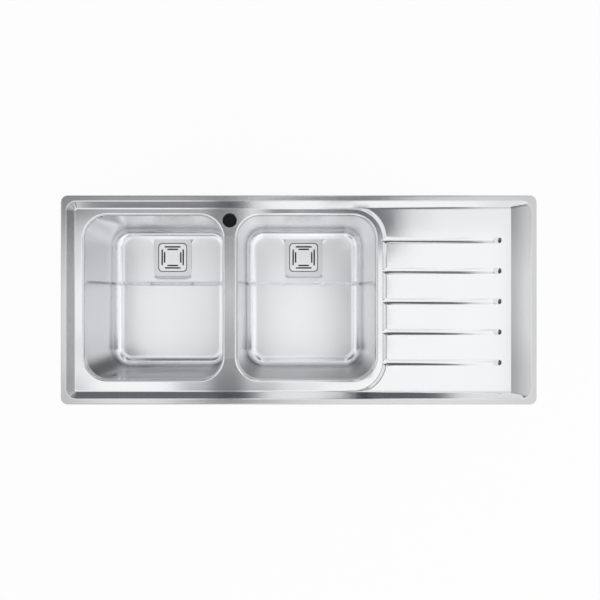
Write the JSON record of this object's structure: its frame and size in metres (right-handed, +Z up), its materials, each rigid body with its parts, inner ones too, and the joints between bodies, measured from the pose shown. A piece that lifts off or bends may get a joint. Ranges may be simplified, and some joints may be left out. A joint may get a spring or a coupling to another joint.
{
  "type": "inset kitchen sink",
  "caption": "Inset stainless kitchen sink with two deep bowls, square basket wastes, a fluted drainer and swing-out worktop clips.",
  "frame": {"origin": "middle of the worktop cut-out, on the worktop's surface", "axes": "+X along the sink towards the drainer, +Y to the back, +Z up"},
  "size_m": [1.18, 0.53, 0.2885],
  "materials": {
    "deck_steel": "satin stainless sheet, fine grain along the land",
    "bowl_steel": "satin stainless, smooth drawn walls",
    "flange_steel": "satin stainless pressing",
    "strainer_steel": "satin stainless pressing",
    "zinc_steel": "bright zinc plate",
    "foam": "closed-cell foam",
    "damping": "matt damping sheet",
    "rubber": "matt rubber",
    "hub_plastic": "moulded polypropylene",
    "plug_plastic": "moulded plastic",
    "foot_plastic": "moulded plastic"
  },
  "bodies": {
    "root": {"deck_top": "deck_steel", "bowl_left": "bowl_steel", "bowl_right": "bowl_steel", "rim_seal": "foam", "sound_pad_left": "damping", "sound_pad_right": "damping", "clip_brackets": "zinc_steel", "clip_pins": "zinc_steel", "waste_flange_left": "flange_steel", "waste_gasket_left": "rubber", "waste_seal_left": "rubber", "waste_hub_left": "hub_plastic", "clamp_screw_left": "zinc_steel", "waste_flange_right": "flange_steel", "waste_gasket_right": "rubber", "waste_seal_right": "rubber", "waste_hub_right": "hub_plastic", "clamp_screw_right": "zinc_steel"},
    "strainer_left": {"strainer_cover_left": "strainer_steel", "strainer_plug_left": "plug_plastic", "plug_ring_left": "rubber"},
    "strainer_right": {"strainer_cover_right": "strainer_steel", "strainer_plug_right": "plug_plastic", "plug_ring_right": "rubber"},
    "arm_1": {"clip_arm_1": "zinc_steel"},
    "foot_1": {"clip_foot_1": "foot_plastic"},
    "screw_1": {"clip_screw_1": "zinc_steel"},
    "arm_2": {"clip_arm_2": "zinc_steel"},
    "foot_2": {"clip_foot_2": "foot_plastic"},
    "screw_2": {"clip_screw_2": "zinc_steel"},
    "arm_3": {"clip_arm_3": "zinc_steel"},
    "foot_3": {"clip_foot_3": "foot_plastic"},
    "screw_3": {"clip_screw_3": "zinc_steel"},
    "arm_4": {"clip_arm_4": "zinc_steel"},
    "foot_4": {"clip_foot_4": "foot_plastic"},
    "screw_4": {"clip_screw_4": "zinc_steel"},
    "arm_5": {"clip_arm_5": "zinc_steel"},
    "foot_5": {"clip_foot_5": "foot_plastic"},
    "screw_5": {"clip_screw_5": "zinc_steel"},
    "arm_6": {"clip_arm_6": "zinc_steel"},
    "foot_6": {"clip_foot_6": "foot_plastic"},
    "screw_6": {"clip_screw_6": "zinc_steel"},
    "arm_7": {"clip_arm_7": "zinc_steel"},
    "foot_7": {"clip_foot_7": "foot_plastic"},
    "screw_7": {"clip_screw_7": "zinc_steel"},
    "arm_8": {"clip_arm_8": "zinc_steel"},
    "foot_8": {"clip_foot_8": "foot_plastic"},
    "screw_8": {"clip_screw_8": "zinc_steel"}
  },
  "joints": [
    {"name": "strainer_left_lift", "type": "slide", "parent": "root", "child": "strainer_left", "axis": [0, 0, 1], "range_m": [0, 0.25]},
    {"name": "strainer_right_lift", "type": "slide", "parent": "root", "child": "strainer_right", "axis": [0, 0, 1], "range_m": [0, 0.25]},
    {"name": "clip_1_swing", "type": "hinge", "parent": "root", "child": "arm_1", "pos_m": [-0.4292, -0.217, -0.014], "axis": [1, 0, 0], "range_deg": [0, 28]},
    {"name": "clip_1_travel", "type": "slide", "parent": "arm_1", "child": "foot_1", "axis": [0, 0, 1], "range_m": [-0.01, 0.012]},
    {"name": "clip_1_spin", "type": "hinge", "parent": "foot_1", "child": "screw_1", "pos_m": [-0.4292, -0.256, -0.06], "axis": [0, 0, 1], "range_deg": [-3601, 4321]},
    {"name": "clip_2_swing", "type": "hinge", "parent": "root", "child": "arm_2", "pos_m": [-0.0232, -0.217, -0.014], "axis": [1, 0, 0], "range_deg": [0, 28]},
    {"name": "clip_2_travel", "type": "slide", "parent": "arm_2", "child": "foot_2", "axis": [0, 0, 1], "range_m": [-0.01, 0.012]},
    {"name": "clip_2_spin", "type": "hinge", "parent": "foot_2", "child": "screw_2", "pos_m": [-0.0232, -0.256, -0.06], "axis": [0, 0, 1], "range_deg": [-3601, 4321]},
    {"name": "clip_3_swing", "type": "hinge", "parent": "root", "child": "arm_3", "pos_m": [0.4292, -0.217, -0.014], "axis": [1, 0, 0], "range_deg": [0, 28]},
    {"name": "clip_3_travel", "type": "slide", "parent": "arm_3", "child": "foot_3", "axis": [0, 0, 1], "range_m": [-0.01, 0.012]},
    {"name": "clip_3_spin", "type": "hinge", "parent": "foot_3", "child": "screw_3", "pos_m": [0.4292, -0.256, -0.06], "axis": [0, 0, 1], "range_deg": [-3601, 4321]},
    {"name": "clip_4_swing", "type": "hinge", "parent": "root", "child": "arm_4", "pos_m": [-0.4292, 0.217, -0.014], "axis": [-1, 0, 0], "range_deg": [0, 28]},
    {"name": "clip_4_travel", "type": "slide", "parent": "arm_4", "child": "foot_4", "axis": [0, 0, 1], "range_m": [-0.01, 0.012]},
    {"name": "clip_4_spin", "type": "hinge", "parent": "foot_4", "child": "screw_4", "pos_m": [-0.4292, 0.256, -0.06], "axis": [0, 0, 1], "range_deg": [-3601, 4321]},
    {"name": "clip_5_swing", "type": "hinge", "parent": "root", "child": "arm_5", "pos_m": [-0.0232, 0.217, -0.014], "axis": [-1, 0, 0], "range_deg": [0, 28]},
    {"name": "clip_5_travel", "type": "slide", "parent": "arm_5", "child": "foot_5", "axis": [0, 0, 1], "range_m": [-0.01, 0.012]},
    {"name": "clip_5_spin", "type": "hinge", "parent": "foot_5", "child": "screw_5", "pos_m": [-0.0232, 0.256, -0.06], "axis": [0, 0, 1], "range_deg": [-3601, 4321]},
    {"name": "clip_6_swing", "type": "hinge", "parent": "root", "child": "arm_6", "pos_m": [0.4292, 0.217, -0.014], "axis": [-1, 0, 0], "range_deg": [0, 28]},
    {"name": "clip_6_travel", "type": "slide", "parent": "arm_6", "child": "foot_6", "axis": [0, 0, 1], "range_m": [-0.01, 0.012]},
    {"name": "clip_6_spin", "type": "hinge", "parent": "foot_6", "child": "screw_6", "pos_m": [0.4292, 0.256, -0.06], "axis": [0, 0, 1], "range_deg": [-3601, 4321]},
    {"name": "clip_7_swing", "type": "hinge", "parent": "root", "child": "arm_7", "pos_m": [-0.542, 0, -0.014], "axis": [0, -1, 0], "range_deg": [0, 28]},
    {"name": "clip_7_travel", "type": "slide", "parent": "arm_7", "child": "foot_7", "axis": [0, 0, 1], "range_m": [-0.01, 0.012]},
    {"name": "clip_7_spin", "type": "hinge", "parent": "foot_7", "child": "screw_7", "pos_m": [-0.581, 0, -0.06], "axis": [0, 0, 1], "range_deg": [-3601, 4321]},
    {"name": "clip_8_swing", "type": "hinge", "parent": "root", "child": "arm_8", "pos_m": [0.542, 0, -0.014], "axis": [0, 1, 0], "range_deg": [0, 28]},
    {"name": "clip_8_travel", "type": "slide", "parent": "arm_8", "child": "foot_8", "axis": [0, 0, 1], "range_m": [-0.01, 0.012]},
    {"name": "clip_8_spin", "type": "hinge", "parent": "foot_8", "child": "screw_8", "pos_m": [0.581, 0, -0.06], "axis": [0, 0, 1], "range_deg": [-3601, 4321]}
  ],
  "couplings": [
    {"joint": "clip_1_spin", "follows": "clip_1_travel", "rad_per_m": 6283.2},
    {"joint": "clip_2_spin", "follows": "clip_2_travel", "rad_per_m": 6283.2},
    {"joint": "clip_3_spin", "follows": "clip_3_travel", "rad_per_m": 6283.2},
    {"joint": "clip_4_spin", "follows": "clip_4_travel", "rad_per_m": 6283.2},
    {"joint": "clip_5_spin", "follows": "clip_5_travel", "rad_per_m": 6283.2},
    {"joint": "clip_6_spin", "follows": "clip_6_travel", "rad_per_m": 6283.2},
    {"joint": "clip_7_spin", "follows": "clip_7_travel", "rad_per_m": 6283.2},
    {"joint": "clip_8_spin", "follows": "clip_8_travel", "rad_per_m": 6283.2}
  ]
}
